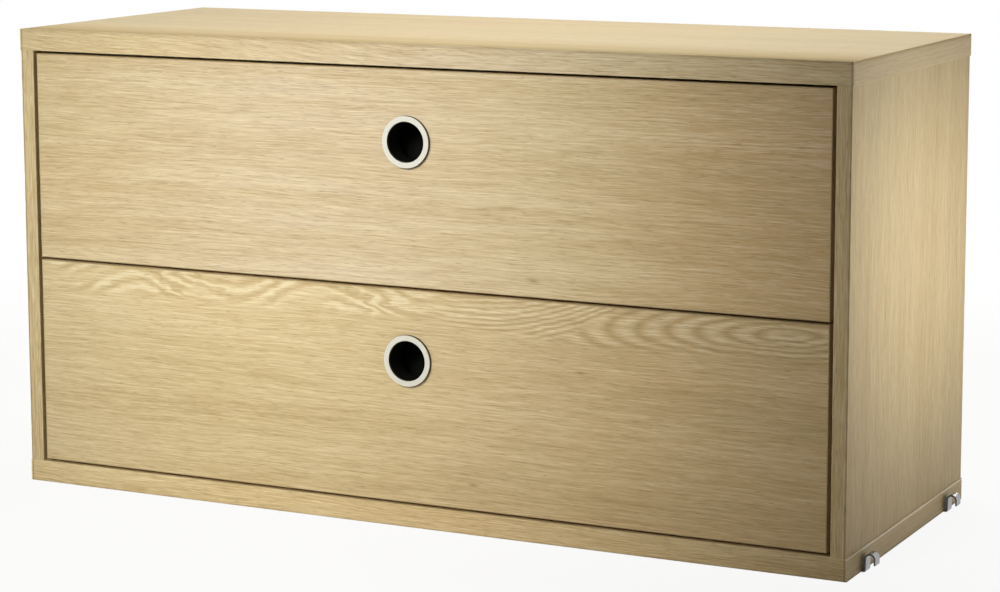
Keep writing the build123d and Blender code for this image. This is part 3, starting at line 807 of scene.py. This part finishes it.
class CHEST_OT_finger_cups(bpy.types.Operator):
    """Turn the blind finger cups behind the rings"""

    bl_idname = "chest.finger_cups"
    bl_label = "Finger Cups"

    def execute(self, context):
        sizes, colours = context.scene.chest_sizes, context.scene.chest_colours
        f = Finish("matt_cup")
        grain = f.grit(0.4 * MM)
        base = f.mix(grain, colours.cup, dimmed(colours.cup, 1.6))
        finish = f.surface(base, 0.85, grain, 0.03 * MM, Specular_IOR_Level=0.05)
        inner, outer = sizes.hole_radius, sizes.hole_radius + sizes.cup_wall
        lip, seat = 0.1 * MM, FRONT_BOARD
        roof = seat + sizes.flange
        end = roof + sizes.chamber_depth + sizes.cup_wall
        chamber = sizes.chamber_radius
        outline = rounded(
            [
                (0.0, end),
                (chamber + sizes.cup_wall, end),
                (chamber + sizes.cup_wall, roof),
                (sizes.flange_radius, roof),
                (sizes.flange_radius, seat),
                (outer, seat),
                (outer, lip),
                (inner, lip),
                (inner, roof),
                (chamber, roof),
                (chamber, end - sizes.cup_wall),
                (0.0, end - sizes.cup_wall),
            ],
            [MM * r for r in (0.0, 2.2, 0.6, 0.5, 0.2, 0.1, 0.2, 0.3, 0.8, 0.3, 1.6, 0.0)],
            closed=False,
        )
        for drawer in DRAWERS:
            points = turned(outline, front_face(drawer), ring_height(drawer))
            faces = grid_faces(len(outline), len(points) // len(outline))
            body, replaced = f"{drawer}_drawer", [f"{drawer}_finger_cup"]
            piece(f"{drawer}_cup", points, faces, finish, body, replaced)
        return {"FINISHED"}


# Rounding of the strip's edges, and radius of its middle line between foot and leg
STRIP_EDGE = 0.22 * MM
STRIP_BEND = 1.25 * MM


def strip_path(sizes):
    """The middle line of a right-hand hook, in X and Z, with its unit normals.

    It runs along the foot, round a quarter bend, up the leg, over a half circle and down the lip.
    """
    half = sizes.strip / 2
    leg = HALF_WIDTH + sizes.hook_leg + half
    arch = sizes.hook_gap / 2 + half
    top = sizes.hook_height - half - arch
    bend, end = STRIP_BEND, leg + 2 * arch
    pieces = []

    def straight(x0, z0, x1, z1, nx, nz, count):
        t = np.linspace(0.0, 1.0, count)[:, None]
        points = (1 - t) * np.array([x0, z0]) + t * np.array([x1, z1])
        pieces.append(np.hstack([points, np.tile([nx, nz], (count, 1))]))

    def arc(x, z, radius, first, last, sign, count):
        a = np.radians(np.linspace(first, last, count))
        normal = np.stack([np.cos(a), np.sin(a)], -1)
        pieces.append(np.hstack([np.array([x, z]) + radius * normal, sign * normal]))

    straight(HALF_WIDTH - sizes.hook_foot, half, leg - bend, half, 0.0, -1.0, 90)
    arc(leg - bend, half + bend, bend, -90.0, 0.0, 1.0, 10)
    straight(leg, half + bend, leg, top, 1.0, 0.0, 10)
    arc(leg + arch, top, arch, 180.0, 0.0, -1.0, 36)
    straight(end, top, end, sizes.hook_lip, -1.0, 0.0, 12)
    line = np.vstack(pieces)
    step = np.linalg.norm(np.diff(line[:, :2], axis=0), axis=1)
    return line[np.append(True, step > 0.001 * MM)]


def strip_section(sizes):
    """The outline of the strip across its length: how far out along Y, and how far up, of each point."""
    half, edge = sizes.strip / 2, STRIP_EDGE
    across = np.linspace(-1.0, 1.0, 41) * (sizes.strip_width / 2 - edge)
    turn = np.radians(np.linspace(0.0, 90.0, 4))[1:-1]
    out = np.concatenate([across, across[-1] + edge * np.sin(turn)])
    up = np.concatenate([np.full(len(across), half), half - edge + edge * np.cos(turn)])
    end = np.array([[sizes.strip_width / 2, half - edge]])
    upper_side = np.vstack([np.stack([out, up], -1), end])
    return np.vstack([upper_side, -upper_side])


def strip_grid(sizes):
    """X, Y and Z of a right-hand hook's points, a row for each point of its path, with its countersinks.

    The first and last rows are a little thinner and narrower, which eases the strip's ends.
    """
    line, section = strip_path(sizes), strip_section(sizes)
    thinner, narrower = 0.86, 0.98
    rows = len(line)
    thickness, width = np.ones((rows, 1)), np.ones((rows, 1))
    thickness[[0, -1]] = thinner
    width[[0, -1]] = narrower
    offset = section[None, :, 1] * thickness
    x = line[:, :1] + line[:, 2:3] * offset
    z = line[:, 1:2] + line[:, 3:4] * offset
    y = np.repeat(section[None, :, 0], rows, 0) * width
    slope = 0.55 * sizes.sink_radius
    for i in range(2):
        screw = HALF_WIDTH - sizes.foot_screw_edge - i * sizes.foot_screw_step
        reach = np.hypot(x - screw, y)
        sink = np.clip((sizes.sink_radius - reach) / slope, 0.0, 1.0) * sizes.sink_depth
        z = np.where(z < 0.3 * MM, np.maximum(z, sink), z)
    return x, y, z


class CHEST_OT_hooks(bpy.types.Operator):
    """Bend the four strip hooks, with countersinks for the screws in their feet"""

    bl_idname = "chest.hooks"
    bl_label = "Hooks"

    def execute(self, context):
        sizes, colours = context.scene.chest_sizes, context.scene.chest_colours
        x, y, z = strip_grid(sizes)
        rows, columns = x.shape
        last = (rows - 1) * columns
        faces = grid_faces(rows, columns)
        faces += [list(range(columns)), list(range(last, last + columns))]
        for place in HOOK_ENDS:
            for hand, sign in (("left", -1.0), ("right", 1.0)):
                node = f"{place}_{hand}_hook"
                middle = (lowest(node).y + highest(node).y) / 2
                points = np.stack([sign * x, y + middle, z], -1).reshape(-1, 3)
                finish = self.strip_finish(f"zinc_strip_{place}_{hand}", middle, sizes, colours)
                name = f"{place}_{hand}_strip"
                piece(name, points, faces, finish, "cabinet", [node], sharp=30.0)
        return {"FINISHED"}

    def strip_finish(self, name, middle, sizes, colours):
        """Zinc on the strip's faces, and darker, rougher steel on its cut edges, whose darkness is part
        bare steel and part painted shade.
        """
        f = Finish(name)
        lines = f.noise((f.x, f.y, f.z), (0.5 * MM, 14.0 * MM, 0.5 * MM), 3.0, 0.6)
        haze = f.grit(2.5 * MM)
        edge = sizes.strip_width / 2
        # The cut edges' dark tone is part bare steel and part painted shade.
        cut = abs(f.y - middle).rise(edge - 0.25 * MM, edge - 0.05 * MM)
        base = f.mix(haze * 0.6 + lines * 0.3, dimmed(colours.strip_steel, 0.78), colours.strip_steel)
        base = f.mix(cut, base, colours.cut_steel_and_shade)
        return f.surface(base, 0.32 + cut * 0.2 + (lines - 0.5) * 0.2, lines, 0.01 * MM, Metallic=1.0)


# Lamps farther in front than this don't show in gloss, so they leave no glare on the top from behind
GLOSSY_FROM = -1.0


def lamp(name, place, target, size, power, tint, spread=180.0):
    """A soft square lamp that faces its target. A narrow spread, in degrees, makes a pool of light."""
    data = bpy.data.lights.new(name, "AREA")
    data.shape = "SQUARE"
    data.size = size
    data.energy = power
    data.color = tint
    data.spread = math.radians(spread)
    made = bpy.data.objects.new(name, data)
    made.location = place
    made.visible_glossy = place[1] > GLOSSY_FROM
    made.rotation_mode = "QUATERNION"
    made.rotation_quaternion = (Vector(place) - Vector(target)).to_track_quat("Z", "Y")
    bpy.context.scene.collection.objects.link(made)


# Name, place, target, size, power, tint, and spread in degrees
LAMPS = (
    ("top_lamp", (0.1, 0.5, 1.7), (0.0, 0.1, 0.4), 0.8, 16.0, (1.0, 1.0, 0.85)),
    ("wide_pool", (-0.2, -1.3, 0.9), (-0.15, -0.15, 0.25), 0.5, 1.28, (1.0, 0.92, 0.74), 50.0),
    ("left_pool", (-0.5, -1.3, 0.7), (-0.3, -0.15, 0.25), 0.5, 0.46, (0.75, 0.9, 1.0), 40.0),
    ("upper_pool", (0.10, -1.3, 1.0), (0.10, -0.15, 0.36), 0.4, 0.30, (0.76, 0.86, 1.0), 30.0),
    ("side_pool", (1.3, 0.35, 0.3), (0.389, 0.06, 0.24), 0.3, 0.165, (1.0, 1.0, 0.95), 20.0),
    ("side_rear_pool", (1.3, 0.6, 0.4), (0.389, 0.08, 0.24), 0.3, 0.10, (1.0, 0.9, 0.7), 26.0),
    ("side_front_pool", (1.3, 0.0, 0.5), (0.389, -0.12, 0.30), 0.25, 0.10, (0.9, 0.95, 1.0), 24.0),
    ("left_lamp", (-1.6, 0.3, 0.15), (-0.39, 0.0, 0.2), 0.4, 12.0, (1.0, 0.97, 0.9)),
    ("back_lamp", (0.1, 1.8, 0.15), (0.0, 0.15, 0.2), 0.5, 16.0, (1.0, 0.97, 0.9)),
)


# Rays to which the surround and the floor are white
SEEN_PATHS = ("Is Camera Ray", "Is Glossy Ray", "Is Transmission Ray")

# Strength of the surround for all other rays
AMBIENT = 0.04


def world(context):
    """A white surround for the camera and for reflections, and a plain level of light for all else."""
    made = bpy.data.worlds.new("studio")
    context.scene.world = made
    made.use_nodes = True
    tree = made.node_tree
    tree.nodes.clear()
    output = tree.nodes.new("ShaderNodeOutputWorld")
    background = tree.nodes.new("ShaderNodeBackground")
    path = tree.nodes.new("ShaderNodeLightPath")
    seen = path.outputs[SEEN_PATHS[0]]
    for name in SEEN_PATHS[1:]:
        most = tree.nodes.new("ShaderNodeMath")
        most.operation = "MAXIMUM"
        tree.links.new(seen, most.inputs[0])
        tree.links.new(path.outputs[name], most.inputs[1])
        seen = most.outputs[0]
    strength = tree.nodes.new("ShaderNodeMapRange")
    strength.inputs["To Min"].default_value = AMBIENT
    strength.inputs["To Max"].default_value = 1.0
    tree.links.new(seen, strength.inputs["Value"])
    tree.links.new(strength.outputs["Result"], background.inputs["Strength"])
    background.inputs["Color"].default_value = (1.0, 1.0, 1.0, 1.0)
    tree.links.new(background.outputs["Background"], output.inputs["Surface"])


# Half the floor's width, its tiles along a side, and its gap under the chest
FLOOR_REACH = 8.0
FLOOR_TILES = 8
FLOOR_GAP = 0.2 * MM

# How much of the floor's matt finish, with the shadow on it, the camera sees
FLOOR_MATT = 0.09


def studio_floor(context):
    """A level floor, white to the camera apart from a little of the chest's shadow around it."""
    u = np.linspace(-FLOOR_REACH, FLOOR_REACH, FLOOR_TILES + 1)
    x, y = np.meshgrid(u, u, indexing="ij")
    points = np.stack([x, y, np.full_like(x, -FLOOR_GAP)], -1).reshape(-1, 3)
    i, j = np.meshgrid(np.arange(FLOOR_TILES), np.arange(FLOOR_TILES), indexing="ij")
    row = FLOOR_TILES + 1
    first = i * row + j
    faces = np.stack([first, first + row, first + row + 1, first + 1], -1).reshape(-1, 4).tolist()
    mesh = bpy.data.meshes.new("studio_floor")
    mesh.from_pydata(points.tolist(), [], faces)
    floor = bpy.data.objects.new("studio_floor", mesh)
    context.scene.collection.objects.link(floor)
    paint = context.scene.chest_colours.floor
    f = Finish("studio_floor")
    camera, glossy, through = f.node("ShaderNodeLightPath", {}, {}, SEEN_PATHS)
    seen = camera.larger(glossy).larger(through)
    base = f.mix(f.grit(0.8), dimmed(paint, 0.98), paint)
    matt = f.node("ShaderNodeBsdfDiffuse", {}, {"Color": base})
    white = f.node("ShaderNodeEmission", {}, {"Color": (1.0, 1.0, 1.0, 1.0), "Strength": 1.0})
    matt_share = (1.0 - (f.x * f.x + f.y * f.y).rise(0.3, 2.0)) * FLOOR_MATT
    shown = f.node("ShaderNodeMixShader", {}, {0: seen * (1.0 - matt_share), 1: matt, 2: white})
    f.node("ShaderNodeOutputMaterial", {}, {"Surface": shown}, ())
    mesh.materials.append(f.material)


# Angles are azimuth, elevation and roll in degrees. The lens and the sensor are in millimetres.
CAMERA_PLACE = (1.0953, -2.1641, 0.5992)
CAMERA_ANGLES = (26.586, 8.264, 0.141)
CAMERA_LENS = 100.07
CAMERA_SENSOR = 36.0
CAMERA_SHIFT = -0.08


def studio_camera(context):
    """A long lens in front, to the right and a little above, with its picture shifted down."""
    azimuth, elevation, roll = (math.radians(v) for v in CAMERA_ANGLES)
    data = bpy.data.cameras.new("studio_camera")
    data.sensor_width = CAMERA_SENSOR
    data.lens = CAMERA_LENS
    data.shift_y = CAMERA_SHIFT
    level = math.cos(elevation)
    back = Vector((math.sin(azimuth) * level, -math.cos(azimuth) * level, math.sin(elevation)))
    right = Vector((0.0, 0.0, 1.0)).cross(back).normalized()
    up = back.cross(right)
    tilted_right = right * math.cos(roll) - up * math.sin(roll)
    tilted_up = right * math.sin(roll) + up * math.cos(roll)
    turn = Matrix((tilted_right, tilted_up, back)).transposed().to_4x4()
    made = bpy.data.objects.new("studio_camera", data)
    made.matrix_world = Matrix.Translation(CAMERA_PLACE) @ turn
    context.scene.collection.objects.link(made)
    context.scene.camera = made


class CHEST_OT_stage(bpy.types.Operator):
    """Set up the floor, the lamps, the surround and the camera"""

    bl_idname = "chest.stage"
    bl_label = "Studio"

    def execute(self, context):
        context.scene.view_settings.view_transform = "Standard"
        world(context)
        studio_floor(context)
        studio_camera(context)
        for settings in LAMPS:
            lamp(*settings)
        return {"FINISHED"}


STEPS = (
    CHEST_OT_carcass,
    CHEST_OT_edge_bands,
    CHEST_OT_drawer_fronts,
    CHEST_OT_drawer_boxes,
    CHEST_OT_dowels,
    CHEST_OT_screws,
    CHEST_OT_slides,
    CHEST_OT_pull_rings,
    CHEST_OT_finger_cups,
    CHEST_OT_hooks,
    CHEST_OT_stage,
)


class CHEST_PT_panel(bpy.types.Panel):
    """Lists the steps that dress the chest, and what they take"""

    bl_label = "Hanging Oak Chest"
    bl_idname = "CHEST_PT_panel"
    bl_space_type = "VIEW_3D"
    bl_region_type = "UI"
    bl_category = "Chest"

    def draw(self, context):
        column = self.layout.column()
        for step in STEPS:
            column.operator(step.bl_idname)
        for group in (context.scene.chest_sizes, context.scene.chest_colours):
            for name in group.bl_rna.properties.keys():
                if name not in ("rna_type", "name"):
                    column.prop(group, name)


CLASSES = (ChestSizes, ChestColours, *STEPS, CHEST_PT_panel)


def register():
    for item in CLASSES:
        bpy.utils.register_class(item)
    bpy.types.Scene.chest_sizes = PointerProperty(type=ChestSizes)
    bpy.types.Scene.chest_colours = PointerProperty(type=ChestColours)


def unregister():
    del bpy.types.Scene.chest_colours
    del bpy.types.Scene.chest_sizes
    for item in reversed(CLASSES):
        bpy.utils.unregister_class(item)


def main():
    register()
    bpy.ops.chest.carcass()
    bpy.ops.chest.edge_bands()
    bpy.ops.chest.drawer_fronts()
    bpy.ops.chest.drawer_boxes()
    bpy.ops.chest.dowels()
    bpy.ops.chest.screws()
    bpy.ops.chest.slides()
    bpy.ops.chest.pull_rings()
    bpy.ops.chest.finger_cups()
    bpy.ops.chest.hooks()
    bpy.ops.chest.stage()


if __name__ == "__main__":
    main()
